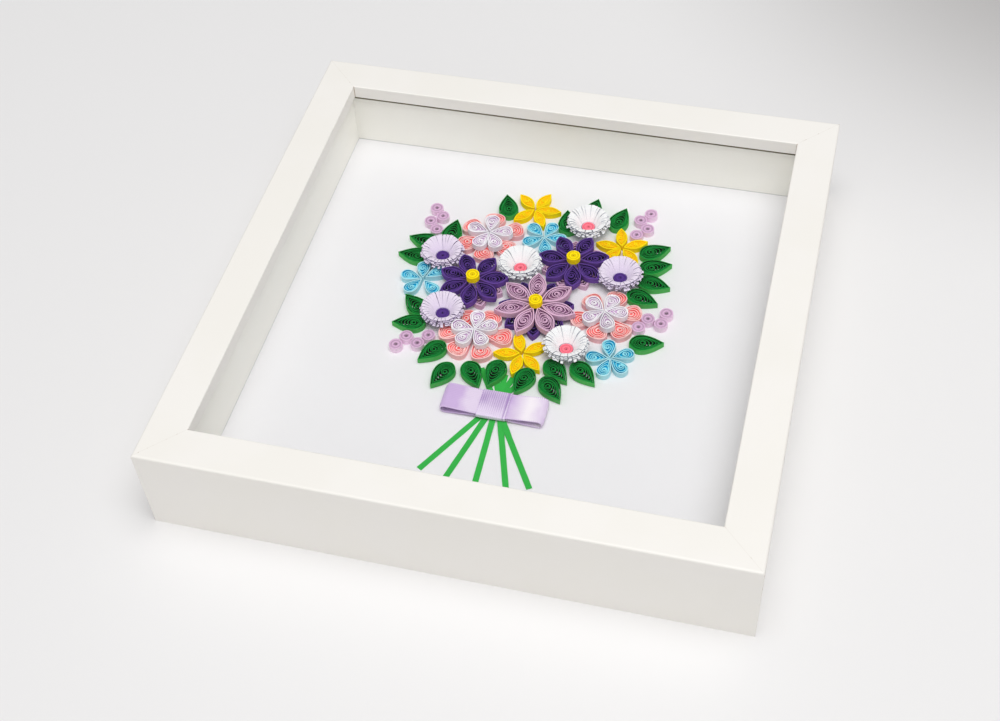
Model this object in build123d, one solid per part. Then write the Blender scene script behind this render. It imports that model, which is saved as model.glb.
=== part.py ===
from build123d import *
from math import cos, pi, radians, sin, tan
import os

os.makedirs("parts", exist_ok=True)

# The frame lies on its back: +Z runs out through the glass and +Y towards the picture's top.
# The origin is the centre of the back face. Lengths are in mm, angles in degrees.

# Frame moulding
frame_side = 250
frame_depth = 45
face_width = 17.5
wall = 10
lip = 6.5
outer_edge_radius = 0.9
sight_edge_radius = 0.6

# Glass, spacer, card and board, from the front to the back
fit_gap = 0.3
glass_thickness = 2
card_depth = 36
card_thickness = 0.4
board_thickness = 2.5
spacer_thickness = 4.7

# Hardware at the back
nail_wing = 6.5
nail_height = 10
nail_gauge = 0.9
nail_inset = 5.6
point_length = 15
point_width = 8
point_gauge = 0.5
point_bite = 5
point_place = 62
hanger_length = 44
hanger_width = 9
hanger_gauge = 0.8
hanger_lift = 1.3
hanger_foot = 9
hanger_tooth = 2.6
hanger_tooth_depth = 1.1
hanger_from_top = 24
rivet_radius = 1.5
rivet_head_radius = 2.6
rivet_head_height = 0.7
rivet_from_end = 4.5
rivet_sides = 12

# Places on the card, measured from its centre, and the sizes of the bouquet's pieces are shares
# of this length
bouquet_span = 100

# Paper strips: the strip's width is the height of every coil
strip_width = 3
paper_thickness = 0.75
coil_gap = 0.12

# Coils: length and width of each kind
yellow_length = 0.12 * bouquet_span
yellow_width = 0.054 * bouquet_span
blue_length = 0.106 * bouquet_span
blue_width = 0.063 * bouquet_span
pink_length = 0.15 * bouquet_span
pink_width = 0.096 * bouquet_span
white_length = 0.106 * bouquet_span
white_width = 0.068 * bouquet_span
purple_length = 0.14 * bouquet_span
purple_width = 0.077 * bouquet_span
mauve_length = 0.168 * bouquet_span
mauve_width = 0.082 * bouquet_span
mauve_under_length = 0.134 * bouquet_span
purple_under_length = 0.166 * bouquet_span
under_width = 0.07 * bouquet_span
leaf_length = 0.15 * bouquet_span
leaf_width = 0.092 * bouquet_span
berry_radius = 0.0315 * bouquet_span
berry_hole = 0.006 * bouquet_span
disc_radius = 0.032 * bouquet_span
disc_hole = 0.005 * bouquet_span

# Fringed flowers
fringe_eye_radius = 0.029 * bouquet_span
fringe_hub_radius = 0.04 * bouquet_span
fringe_rim_radius = 0.107 * bouquet_span
fringe_rise = 4.4
fringe_notch = 0.013 * bouquet_span
fringe_thickness = 0.8
fringe_strips = 14

# Stems and bow
stem_width = 0.026 * bouquet_span
stem_thickness = 0.2
stem_below = 0.465 * bouquet_span
stem_hump = 0.17 * bouquet_span
stem_ramp = 0.04 * bouquet_span
ribbon_width = 0.134 * bouquet_span
ribbon_gauge = 0.45
bow_length = 0.455 * bouquet_span
bow_height = 3.1
bow_pinch = 1.5
wrap_length = 0.128 * bouquet_span
wrap_gap = 0.1

# What follows from the sizes above
half = frame_side / 2
rebate = half - wall
sheet_half = rebate - fit_gap
glass_back = frame_depth - lip - glass_thickness
card_top = frame_depth - card_depth
board_front = card_top - card_thickness
board_back = board_front - board_thickness
second_level = card_top + strip_width
third_level = second_level + strip_width
corner_turns = {"bottom": 0, "right": 90, "top": 180, "left": 270}


def save(name, *solids):
    export_step(solids[0] if len(solids) == 1 else Compound(list(solids)), "parts/" + name + ".step")


def flat(points):
    return make_face(Polyline(*points, close=True))


def prism(points, low, height):
    return Pos(0, 0, low) * extrude(flat(points), amount=height)


def ring_points(radius, count):
    return [(radius * cos(2 * pi * k / count), radius * sin(2 * pi * k / count)) for k in range(count)]


def square(reach):
    return [(-reach, -reach), (reach, -reach), (reach, reach), (-reach, reach)]


# A bar along the bottom side whose two ends are cut to the corner's mitre
def mitred(inner, outer, low, high):
    return prism([(-outer, -outer), (outer, -outer), (inner, -inner), (-inner, -inner)], low, high - low)


# One moulding: an L in section, with a wall, a lip at the front and rounded front edges
def moulding():
    sight = half - face_width
    outline = [
        (-half, 0), (-rebate, 0), (-rebate, frame_depth - lip),
        (-sight, frame_depth - lip), (-sight, frame_depth), (-half, frame_depth),
    ]
    profile = flat(outline)
    for across, radius in ((-half, outer_edge_radius), (-sight, sight_edge_radius)):
        edge = profile.vertices().sort_by_distance(Vector(across, frame_depth, 0))[0]
        profile = fillet(edge, radius)
    bar = extrude(Plane.YZ * profile, amount=half, both=True)
    return bar & mitred(sight, half, 0, frame_depth)


# A folded strip of steel driven into a corner from the back, with one wing along each rail
def v_nail():
    lean = nail_gauge * 2 ** 0.5
    reach = nail_wing / 2 ** 0.5
    right = [(0, 0), (reach, reach), (reach, reach + lean)]
    left = [(0, lean), (-reach, reach + lean), (-reach, reach)]
    nail = prism(right + left, 0, nail_height)
    return Pos(-half, -half, 0) * Rot(0, 0, -45) * Pos(0, nail_inset, 0) * nail


# A flat steel point: its sharp end sits in the wall and its tail lies on the backing board
def retaining_point(place):
    tip = -rebate - point_bite
    side, tail = point_width / 2, tip + point_length
    outline = [(-side, tip + side), (0, tip), (side, tip + side), (side, tail), (-side, tail)]
    return Pos(place, 0, 0) * prism(outline, board_back - point_gauge, point_gauge)


nails = [Rot(0, 0, turn) * v_nail() for turn in corner_turns.values()]
points = [
    Rot(0, 0, turn) * retaining_point(x)
    for turn in corner_turns.values() for x in (-point_place, point_place)
]
spacer = mitred(sheet_half - spacer_thickness, sheet_half, card_top, glass_back)
for name, turn in corner_turns.items():
    rail = Rot(0, 0, turn) * moulding()
    for piece in nails + points:
        rail -= piece
    save("rail_" + name, rail)
    save("spacer_" + name, Rot(0, 0, turn) * spacer)
save("v_nails", *nails)
save("retaining_points", *points)
save("glazing_pane", prism(square(sheet_half), glass_back, glass_thickness))
save("art_card", prism(square(sheet_half), board_front, card_thickness))

# Sawtooth hanger: two feet on the board and a raised bridge with teeth along its lower edge
hanger_y = sheet_half - hanger_from_top
rivet_x = hanger_length / 2 - rivet_from_end


def at_rivets(solid):
    return [Pos(x, hanger_y, 0) * solid for x in (-rivet_x, rivet_x)]


shanks = at_rivets(prism(ring_points(rivet_radius, rivet_sides), 0, board_front))


def hanger():
    end = hanger_length / 2
    foot = end - hanger_foot
    bridge = foot - hanger_lift
    lower = [(-end, 0), (-foot, 0), (-bridge, -hanger_lift), (bridge, -hanger_lift), (foot, 0), (end, 0)]
    upper = [(x, z - hanger_gauge) for x, z in reversed(lower)]
    plate = extrude(Plane.XZ * flat(lower + upper), amount=hanger_width / 2, both=True)
    plate = Pos(0, hanger_y, board_back) * plate
    low_edge = hanger_y - hanger_width / 2
    count = int(2 * bridge / hanger_tooth) - 1
    step = hanger_tooth / 2
    start = -count * step
    teeth = [(start + k * step, low_edge + hanger_tooth_depth * (k % 2)) for k in range(2 * count + 1)]
    clear = low_edge - hanger_tooth
    return plate - prism([(start, clear), *teeth, (-start, clear)], 0, board_back) - shanks


def rivet():
    head_top = board_back - hanger_gauge
    rim = ring_points(rivet_head_radius, rivet_sides)
    head = prism(rim, head_top - rivet_head_height, rivet_head_height)
    return head + prism(ring_points(rivet_radius, rivet_sides), head_top, board_front - head_top)


save("backing_board", prism(square(sheet_half), board_back, board_thickness) - shanks)
save("sawtooth_hanger", hanger())
save("hanger_rivets", *at_rivets(rivet()))


# A pinched coil, tip first. Its half width follows along ** tip * (1 - along) ** end, scaled to
# the coil's width: a low end power leaves the far end round, and 1 pinches it as well.
class Coil:
    wall_share = 1.2
    shoulder_share = 0.62
    sample_count = 40

    def __init__(self, length, width, tip, end, eye_share, roll_share, steps=5, shoulders=True):
        self.length, self.width, self.tip, self.end = length, width, tip, end
        self.eye, self.roll = eye_share * length, roll_share * width / 2
        self.steps, self.shoulders = steps, shoulders

    def half_width(self, along):
        peak = self.tip / (self.tip + self.end)
        shape = along ** self.tip * (1 - along) ** self.end
        return self.width / 2 * shape / (peak ** self.tip * (1 - peak) ** self.end)

    def outline(self):
        shares = [sin(pi * k / 2 / self.steps) ** 2 for k in range(self.steps + 1)]
        upper = [(share * self.length, self.half_width(share)) for share in shares]
        return upper + [(x, -y) for x, y in reversed(upper[1:-1])]

    # The open crescent between the outer turns and the rolled eye, on the side of the tip
    def crescent(self):
        shares = [k / self.sample_count for k in range(1, self.sample_count)]
        start = min(share for share in shares if self.half_width(share) > paper_thickness * self.wall_share)
        front = self.eye - self.roll
        along = (front * self.shoulder_share, self.eye) if self.shoulders else (self.eye,)
        horns = [(x, self.half_width(x / self.length) - paper_thickness) for x in along]
        mirrored = [(x, -y) for x, y in reversed(horns)]
        return [(start * self.length + paper_thickness, 0), *horns, (front, 0), *mirrored]

    def solid(self):
        face = flat(self.outline())
        return extrude(face - flat(self.crescent()) if self.roll else face, amount=strip_width)

    # How far the inner ends stay from a flower's centre so that petals at this spread don't meet
    def root(self, spread, tips_out):
        slope = tan(radians(spread / 2))
        shares = [k / self.sample_count for k in range(self.sample_count + 1)]
        inward = [1 - share if tips_out else share for share in shares]
        sides = [(self.half_width(share) + coil_gap / 2) / slope for share in shares]
        return max(side - share * self.length for side, share in zip(sides, inward))


yellow = Coil(yellow_length, yellow_width, 1, 1, 0.5, 0.4, steps=4, shoulders=False)
blue = Coil(blue_length, blue_width, 1.15, 0.5, 0.68, 0.5, shoulders=False)
pink = Coil(pink_length, pink_width, 1.7, 0.5, 0.72, 0.5)
white = Coil(white_length, white_width, 1.2, 0.5, 0.68, 0.5, shoulders=False)
purple = Coil(purple_length, purple_width, 0.9, 1.2, 0.52, 0.5)
mauve = Coil(mauve_length, mauve_width, 1.05, 1.2, 0.53, 0.5)
mauve_under = Coil(mauve_under_length, under_width, 0.85, 1.2, 0.6, 0, steps=4)
purple_under = Coil(purple_under_length, under_width, 0.85, 1.2, 0.6, 0, steps=4)
leaf = Coil(leaf_length, leaf_width, 1.1, 0.6, 0.66, 0.5)


def place(shares):
    return tuple(bouquet_span * share for share in shares)


# Petals round a centre, one in each direction, with their tips at the centre or turned outwards
def flower(coil, centre_shares, directions, low, tips_out=False):
    around = sorted(directions)
    spread = min(after - before for before, after in zip(around, around[1:] + [around[0] + 360]))
    root = coil.root(spread, tips_out)
    seat = Pos(root + coil.length, 0, 0) * Rot(0, 0, 180) if tips_out else Pos(root, 0, 0)
    petal = seat * coil.solid()
    return [Pos(*place(centre_shares), low) * Rot(0, 0, direction) * petal for direction in directions]


# Flowers on the card: each centre in shares, and the directions of its petals
yellow_shares = [
    ((-0.096, 0.750), (-132, -59, 2, 66, 138)),
    ((0.360, 0.580), (-125, -44, 30, 103, 175)),
    ((0.057, -0.141), (-171, -97, -39, 40, 113)),
]
blue_shares = [
    ((-0.500, 0.204), (-122, -39, 44, 102, 172)),
    ((-0.011, 0.575), (-149, -74, 5, 73, 141)),
    ((0.439, -0.089), (-176, -100, -38, 30, 104)),
]
pink_shares = [
    ((-0.267, 0.525), (-148, -88, -28, 32, 90, 150)),
    ((-0.176, -0.076), (-176, -119, -60, 5, 66, 124)),
    ((0.379, 0.154), (-159, -103, -46, 18, 80, 140)),
]

# Flowers on the second level: white ones on the pink, and the large pointed heads
white_shares = [
    ((-0.264, 0.531), (-113, -56, 14, 94, 168)),
    ((-0.178, -0.069), (-119, -51, 27, 93, 176)),
    ((0.365, 0.151), (-140, -68, 6, 72, 144)),
]
purple_shares = [
    ((-0.262, 0.223), (-142, -86, -36, 14, 65, 120, 170)),
    ((0.163, 0.430), (-127, -80, -34, 20, 72, 126, 178)),
]
mauve_shares = [((0.055, 0.131), (-158, -104, -55, -7, 44, 99, 149))]
for kind, coil, flowers, low, tips_out in (
    ("yellow", yellow, yellow_shares, card_top, True),
    ("blue", blue, blue_shares, card_top, False),
    ("pink", pink, pink_shares, card_top, False),
    ("white", white, white_shares, second_level, False),
    ("purple", purple, purple_shares, second_level, True),
    ("mauve", mauve, mauve_shares, second_level, True),
):
    for number, (centre, directions) in enumerate(flowers, 1):
        save(f"{kind}_flower_{number}", *flower(coil, centre, directions, low, tips_out))

# Petals of the other colour on the card under each head, turned to show between its petals
heads = purple_shares + mauve_shares
under_petals = (
    ("mauve_under_petals_1", mauve_under, (-61, -12, 40)),
    ("mauve_under_petals_2", mauve_under, (-156, -105, -56, -8, 46, 98)),
    ("purple_under_petals", purple_under, (-179, -131, -82, -32, 19, 74, 125)),
)
for (name, coil, directions), (centre, _) in zip(under_petals, heads):
    save(name, *flower(coil, centre, directions, card_top, True))


def tight_coil(radius, hole, sides, hole_sides):
    face = flat(ring_points(radius, sides)) - flat(ring_points(hole, hole_sides))
    return extrude(face, amount=strip_width)


disc = tight_coil(disc_radius, disc_hole, 12, 4)
for number, (centre, _) in enumerate(heads, 1):
    save(f"yellow_centre_{number}", Pos(*place(centre), third_level) * disc)

# Berries: clusters of four small tight coils
berry_shares = {
    "top_left": ((-0.561, 0.666), (-0.518, 0.618), (-0.567, 0.576), (-0.523, 0.527)),
    "top_right": ((0.451, 0.826), (0.411, 0.776), (0.453, 0.726), (0.409, 0.677)),
    "right": ((0.527, 0.115), (0.560, 0.171), (0.621, 0.154), (0.634, 0.219)),
    "left": ((-0.505, -0.205), (-0.473, -0.147), (-0.414, -0.178), (-0.378, -0.123)),
}
berry = tight_coil(berry_radius, berry_hole, 8, 4)
for name, centres in berry_shares.items():
    save("berries_" + name, *[Pos(*place(centre), card_top) * berry for centre in centres])

# Leaves: the place of each tip, and the direction from the tip to the round end
leaf_shares = {
    "top": (((-0.253, 0.822), -72), ((0.057, 0.775), -77), ((0.187, 0.878), -98), ((0.331, 0.842), -103)),
    "right": (
        ((0.580, 0.630), -148), ((0.606, 0.522), -158), ((0.623, 0.375), 171), ((0.586, 0.267), 164),
        ((0.655, 0.046), 192),
    ),
    "bottom_right": (
        ((0.406, -0.245), 140), ((0.287, -0.260), 138), ((0.280, -0.368), 131), ((0.076, -0.366), 75),
    ),
    "bottom_left": (
        ((-0.045, -0.350), 82), ((-0.084, -0.364), 123), ((-0.290, -0.400), 67), ((-0.385, -0.272), 53),
    ),
    "left": (
        ((-0.562, -0.080), 11), ((-0.550, 0.095), -39), ((-0.660, 0.345), 0), ((-0.639, 0.458), -8),
        ((-0.442, 0.610), -92),
    ),
}
for name, leaves in leaf_shares.items():
    solid = leaf.solid()
    save("leaves_" + name, *[Pos(*place(tip), card_top) * Rot(0, 0, turn) * solid for tip, turn in leaves])


# A flat-sided cone between two rings of points
def faceted_cone(low_radius, high_radius, rise, count):
    low = [Vector(x, y, 0) for x, y in ring_points(low_radius, count)]
    high = [Vector(x, y, rise) for x, y in ring_points(high_radius, count)]
    sides = [[low[k - 1], low[k], high[k], high[k - 1]] for k in range(count)]
    return Solid(Shell([Face(Wire.make_polygon(corners)) for corners in (low, high, *sides)]))


# Fringed flower: a strip wound round a tight disc, its fringes bent out to a ragged bowl.
# The rim's outline steps in at every gap between two fringes.
def fringed_flower():
    def cone(inset):
        low, high = fringe_hub_radius - inset, fringe_rim_radius - inset
        return Pos(0, 0, strip_width) * faceted_cone(low, high, fringe_rise, fringe_strips)

    turn = 2 * pi / fringe_strips
    gap_radius = fringe_rim_radius - fringe_notch
    rim = []
    for k in range(fringe_strips):
        for radius, share in ((fringe_rim_radius, 0.12), (fringe_rim_radius, 0.88), (gap_radius, 1)):
            rim.append((radius * cos(turn * (k + share)), radius * sin(turn * (k + share))))
    bowl = (cone(0) & prism(rim, strip_width, fringe_rise)) - cone(fringe_thickness)
    hub = prism(ring_points(fringe_hub_radius, fringe_strips), 0, strip_width)
    return hub + bowl - prism(ring_points(fringe_eye_radius + coil_gap, fringe_strips), 0, strip_width)


fringe = fringed_flower()
eye = tight_coil(fringe_eye_radius, disc_hole, 10, 4)
fringe_shares = [
    ("violet", (-0.448, 0.365)), ("violet", (-0.350, 0.017)), ("violet", (0.388, 0.391)),
    ("pink", (0.177, 0.683)), ("pink", (-0.074, 0.361)), ("pink", (0.242, -0.077)),
]
for number, (_, centre) in enumerate(fringe_shares, 1):
    save(f"fringed_flower_{number}", Pos(*place(centre), card_top) * fringe)
for colour in ("violet", "pink"):
    centres = [centre for kind, centre in fringe_shares if kind == colour]
    save(colour + "_eyes", *[Pos(*place(centre), card_top) * eye for centre in centres])

# Stems: flat strips that cross in a stack at the knot and come down to the card below it.
# Each has its lean from the picture's upright and its reach above the knot.
knot = place((0.010, -0.410))
stem_shares = ((-29.3, 0.045), (-14.2, 0.120), (1.8, 0.090), (18.1, 0.065), (31.0, 0.045))


def stem(level, above):
    low, ramp_end = level * stem_thickness, -stem_hump - stem_ramp
    under_side = [(-stem_below, 0), (ramp_end, 0), (-stem_hump, low), (above, low)]
    top_side = [(along, height + stem_thickness) for along, height in reversed(under_side)]
    return extrude(Plane.YZ * flat(under_side + top_side), amount=stem_width / 2, both=True)


save("flower_stems", *[
    Pos(*knot, card_top) * Rot(0, 0, lean) * stem(level, bouquet_span * above)
    for level, (lean, above) in enumerate(stem_shares)
])

# Bow: a satin ribbon folded to a flat double loop, pinched by a wrap round its middle
stack = len(stem_shares) * stem_thickness
bow_seat = Pos(*place((0.005, -0.445)), card_top + stack + ribbon_gauge + wrap_gap + bow_pinch / 2)
loop_shares = ((0, 0), (0.2, 0.55), (0.45, 0.95), (0.75, 1), (0.93, 0.72), (1, 0))


# One side of the loop from the wrap to the fold: how far along, and how far open
def loop_side(inset):
    start, reach = wrap_length / 2, bow_length / 2 - inset
    rim = []
    for along, open_share in loop_shares:
        pinch = bow_pinch / 2 * (1 - along)
        height = max(pinch, open_share * bow_height / 2) - inset if along < 1 else 0
        rim.append((start + (reach - start) * along, height))
    return rim + [(x, -z) for x, z in reversed(rim[:-1])]


def bow_loops():
    outer = loop_side(0)
    band = flat([(0, bow_pinch / 2), *outer, (0, -bow_pinch / 2)]) - flat(loop_side(ribbon_gauge))
    return extrude(Plane.XZ * (band + mirror(band, Plane.YZ)), amount=ribbon_width / 2, both=True)


def bow_wrap():
    def section(thickness):
        y, z = (size / 2 + wrap_gap + thickness for size in (ribbon_width, bow_pinch))
        return flat([(-y, -z), (y, -z), (y, z), (-y, z)])

    return extrude(Plane.YZ * (section(ribbon_gauge) - section(0)), amount=wrap_length / 2, both=True)


save("bow_loops", bow_seat * bow_loops())
save("bow_wrap", bow_seat * bow_wrap())
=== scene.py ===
from math import pi, radians

import bpy
import numpy as np
from mathutils import Matrix, Vector


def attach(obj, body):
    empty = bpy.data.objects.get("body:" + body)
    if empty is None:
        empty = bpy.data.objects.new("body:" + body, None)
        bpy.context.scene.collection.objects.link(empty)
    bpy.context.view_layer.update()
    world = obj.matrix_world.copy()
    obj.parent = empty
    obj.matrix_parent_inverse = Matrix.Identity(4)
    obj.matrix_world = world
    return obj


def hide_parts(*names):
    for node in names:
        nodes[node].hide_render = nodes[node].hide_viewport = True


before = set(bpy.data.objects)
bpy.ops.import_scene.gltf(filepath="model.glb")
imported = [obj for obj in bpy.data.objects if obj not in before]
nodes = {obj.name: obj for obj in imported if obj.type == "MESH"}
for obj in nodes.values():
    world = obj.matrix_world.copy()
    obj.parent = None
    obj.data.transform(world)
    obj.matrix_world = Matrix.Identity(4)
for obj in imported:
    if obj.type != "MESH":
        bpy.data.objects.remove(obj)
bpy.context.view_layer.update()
mm = 0.001                      # every shape below is worked out in mm and stored in metres
chance = np.random.default_rng(11)
print("frame loaded,", len(nodes), "nodes")


# Camera at the photograph's viewing angle, in mm from the middle of the frame's back
camera = {
    "place": (127.48, -425.46, 515.44), "target": (-0.57, -26.77, 20.0), "roll": -4.487,
    "lens": 54.163, "sensor": 36, "clip": (0.01, 20),
}


def addCamera(s=camera):
    place, target = (Vector(s[key]) * mm for key in ("place", "target"))
    aim = (target - place).to_track_quat("-Z", "Y").to_matrix().to_4x4()
    roll = Matrix.Rotation(radians(s["roll"]), 4, "Z")
    data = bpy.data.cameras.new("camera")
    data.lens, data.sensor_width = s["lens"], s["sensor"]
    data.clip_start, data.clip_end = s["clip"]
    seen = bpy.data.objects.new("camera", data)
    seen.matrix_world = Matrix.Translation(place) @ aim @ roll
    bpy.context.collection.objects.link(seen)
    bpy.context.scene.camera = seen


addCamera()


# The quads of a grid of points. Its columns close on themselves unless openColumns is set, and
# its rows do where closedRows is set.
def gridQuads(rows, columns, closedRows=False, openColumns=False):
    row = np.arange(rows if closedRows else rows - 1)[:, None]
    column = np.arange(columns - 1 if openColumns else columns)[None, :]
    nextRow, nextColumn = (row + 1) % rows, (column + 1) % columns
    corners = [row * columns + column, row * columns + nextColumn,
               nextRow * columns + nextColumn, nextRow * columns + column]
    return np.stack(corners, -1).reshape(-1, 4)


# The quads of a bar with four edges along it and both its ends closed
def barQuads(rows):
    last = rows * 4
    ends = [[3, 2, 1, 0], [last - 4, last - 3, last - 2, last - 1]]
    return np.concatenate([gridQuads(rows, 4), ends])


# Shapes gathered for one piece: points, quads, and three values a face: whether it is a cut edge
# of the paper, the tone of its strip with any painted ring shade, and how much painted shade it
# takes inside a coil or under a fringe's outer layers
class Gathered:
    def __init__(self):
        self.points, self.quads, self.uv, self.count = [], [], [], 0
        self.values = {"cutEdge": [], "tone": [], "inside": []}

    def add(self, points, quads, uv=None, **values):
        points = points.reshape(-1, 3)
        self.points.append(points)
        self.quads.append(quads + self.count)
        for key, kept in self.values.items():
            kept.append(np.broadcast_to(values.get(key, 0.0), len(quads)))
        self.uv.append(np.zeros((len(points), 2)) if uv is None else uv.reshape(-1, 2))
        self.count += len(points)

    # All of another gathering's shapes, moved by a function of their points
    def addMoved(self, other, move):
        values = {key: np.concatenate(kept) for key, kept in other.values.items()}
        self.add(move(np.concatenate(other.points)), np.concatenate(other.quads), **values)

    # Edges sharper than angle, in degrees, stay sharp
    def piece(self, name, material, node, slot, angle=35):
        points, quads = np.concatenate(self.points), np.concatenate(self.quads)
        mesh = bpy.data.meshes.new(name)
        mesh.vertices.add(len(points))
        mesh.vertices.foreach_set("co", (points * mm).ravel())
        mesh.loops.add(quads.size)
        mesh.loops.foreach_set("vertex_index", quads.ravel())
        mesh.polygons.add(len(quads))
        mesh.polygons.foreach_set("loop_start", np.arange(0, quads.size, 4))
        mesh.update(calc_edges=True)
        for key, values in self.values.items():
            layer = mesh.attributes.new(key, "FLOAT", "FACE")
            layer.data.foreach_set("value", np.concatenate(values))
        layer = mesh.uv_layers.new(name="alongStrip")
        layer.uv.foreach_set("vector", np.concatenate(self.uv)[quads.ravel()].ravel())
        mesh.polygons.foreach_set("use_smooth", np.ones(len(quads), bool))
        mesh.set_sharp_from_angle(angle=radians(angle))
        mesh.materials.append(material)
        made = bpy.data.objects.new(name, mesh)
        bpy.context.collection.objects.link(made)
        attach(made, "root")
        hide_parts(node)
        return made


# A written colour (0 to 255) as Blender's linear one
def colour(red, green, blue):
    share = np.array([red, green, blue]) / 255
    linear = np.where(share <= 0.04045, share / 12.92, ((share + 0.055) / 1.055) ** 2.4)
    return (*linear, 1)


# A node graph in short: new nodes take their settings and their links by socket name, or by
# number as i0, i1 and so on
class Graph:
    def __init__(self, name, **shader):
        self.material = bpy.data.materials.new(name)
        self.material.use_nodes = True
        self.tree = self.material.node_tree
        self.shader = self.tree.nodes["Principled BSDF"]
        self.set(**shader)
        self.place = self.node("TexCoord").outputs["Object"]

    def node(self, kind, settings=None, **inputs):
        made = self.tree.nodes.new("ShaderNode" + kind)
        for key, value in (settings or {}).items():
            setattr(made, key, value)
        for key, value in inputs.items():
            socket = int(key[1:]) if key[1:].isdigit() else key.replace("_", " ")
            self.feed(made.inputs[socket], value)
        return made

    def feed(self, socket, value):
        if isinstance(value, bpy.types.NodeSocket):
            self.tree.links.new(value, socket)
        else:
            socket.default_value = value

    def set(self, **values):
        for socket, value in values.items():
            self.feed(self.shader.inputs[socket.replace("_", " ")], value)
        return self.material

    def maths(self, operation, *values, clamp=False):
        inputs = {f"i{index}": value for index, value in enumerate(values)}
        settings = {"operation": operation, "use_clamp": clamp}
        return self.node("Math", settings, **inputs).outputs[0]

    def mix(self, share, first, second, blend="MIX"):
        settings = {"data_type": "RGBA", "blend_type": blend}
        return self.node("Mix", settings, i0=share, i6=first, i7=second).outputs[2]

    # size is that of one blotch in mm
    def noise(self, size, detail=3):
        inputs = dict(Vector=self.place, Scale=1 / (size * mm), Detail=detail)
        return self.node("TexNoise", **inputs).outputs["Fac"]

    def attribute(self, name):
        return self.node("Attribute", {"attribute_name": name}).outputs["Fac"]

    # Goes smoothly from start to end while value goes from low to high
    def between(self, value, low, high, start=0.0, end=1.0):
        inputs = dict(Value=value, From_Min=low, From_Max=high, To_Min=start, To_Max=end)
        settings = {"interpolation_type": "SMOOTHSTEP"}
        return self.node("MapRange", settings, **inputs).outputs["Result"]

    # depth is the height of the grain in mm
    def bump(self, height, depth, strength):
        made = self.node("Bump", Height=height, Strength=strength, Distance=depth * mm)
        self.set(Normal=made.outputs["Normal"])


# Coloured quilling paper: the flat sides of the strip, its cut edges, the sides and edges of the
# turns inside a coil, with the sides there darker as painted shade, and a fibrous grain
paperGrain = {
    "fibre": 0.16, "cloud": 2.5, "fibreShade": 0.10, "cloudShade": 0.08, "toneShade": 0.22,
    "depth": 0.03, "strength": 0.5, "roughness": 0.85, "shine": 0.14,
}


# Without a ring of their own, the edges inside a coil are like the other cut edges
def quillPaper(name, side, edge, inside, ring=None, s=paperGrain):
    graph = Graph(name, Roughness=s["roughness"], Specular_IOR_Level=s["shine"])
    fibre, cloud = graph.noise(s["fibre"]), graph.noise(s["cloud"])
    cutEdge = graph.attribute("cutEdge")
    outside = graph.mix(cutEdge, colour(*side), colour(*edge))
    # inside a coil the sides are darker as painted shade
    turns = graph.mix(cutEdge, colour(*inside), colour(*(ring or edge)))
    paint = graph.mix(graph.attribute("inside"), outside, turns)
    even = 1 - s["fibreShade"] / 2 - s["cloudShade"] / 2
    shade = graph.maths("MULTIPLY_ADD", fibre, s["fibreShade"], even)
    shade = graph.maths("MULTIPLY_ADD", cloud, s["cloudShade"], shade)
    shade = graph.maths("MULTIPLY_ADD", graph.attribute("tone"), s["toneShade"], shade)
    tint = graph.node("CombineColor", Red=shade, Green=shade, Blue=shade).outputs[0]
    graph.bump(fibre, s["depth"], s["strength"])
    return graph.set(Base_Color=graph.mix(1.0, paint, tint, "MULTIPLY"))


# Side and cut edge of the strip, then its side inside a coil, darker as painted shade, and its cut
# edge inside a coil
paperColours = {
    "yellow": ((255, 222, 0), (255, 226, 0), (255, 202, 0), (255, 226, 0)),
    "blue": ((178, 228, 238), (190, 240, 248), (30, 186, 224), (150, 236, 250)),
    "pink": ((255, 194, 198), (255, 208, 206), (255, 136, 136), (255, 208, 204)),
    "white": ((250, 246, 254), (253, 251, 255), (226, 200, 228), (255, 252, 255)),
    "purple": ((110, 74, 160), (98, 66, 150), (44, 24, 82), (84, 54, 134)),
    "mauve": ((222, 182, 208), (230, 188, 216), (166, 118, 156), (228, 184, 214)),
    "green": ((82, 176, 88), (16, 144, 54), (0, 44, 10), (14, 132, 52)),
    "stem": ((56, 179, 75), (56, 179, 75), (56, 179, 75)),
    "berry": ((234, 206, 228), (212, 174, 206), (212, 174, 206)),
    # lilac and fringeWhite: the cut edge and inside colours are painted shade of the slits and
    # layers
    "lilac": ((237, 225, 243), (70, 38, 128), (104, 72, 156)),
    "fringeWhite": ((248, 248, 249), (92, 104, 144), (134, 144, 174)),
    "violet": ((98, 64, 148), (80, 50, 128), (80, 50, 128)),
    "rose": ((252, 134, 152), (250, 120, 138), (250, 120, 138)),
}
papers = {name: quillPaper(name + "Paper", *tones) for name, tones in paperColours.items()}
print("papers made")


# Coils: a strip on edge, wound and then pinched to a tip. low is the card's height, foot the room
# that is left under a coil and gap the room between two petals.
strip = {
    "height": 3.0, "thickness": 0.34, "eyeThickness": 0.46, "pitch": 0.4, "rimRound": 0.09,
    "low": 9.0, "foot": 0.02, "gap": 0.12, "eyeHole": 0.45,
}
# How unevenly the turns are laid, in mm unless it is a share: holeShare and lowest of the ring
# round the eye, tipRoom and turnRoom of the pitch, step and firstStep of an even step, and drift
# of half the width. Strays, drift and toneSpread are spreads.
winding = {
    "samples": 15, "rimSamples": 60, "holeShare": 0.42, "eyeStray": 0.25, "turnStray": 0.06,
    "drift": 0.03, "driftGrowth": 3, "step": (0.75, 1.25), "firstStep": 0.55, "tipPace": 1.15,
    "tipRoom": 0.8, "turnRoom": 0.75, "endRoom": 0.1, "lowest": 0.9, "toneSpread": 0.12,
    "wave": 0.1, "waves": (3, 6), "belowRim": 0.03, "fillInset": 0.3, "fillSamples": 18,
}
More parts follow.
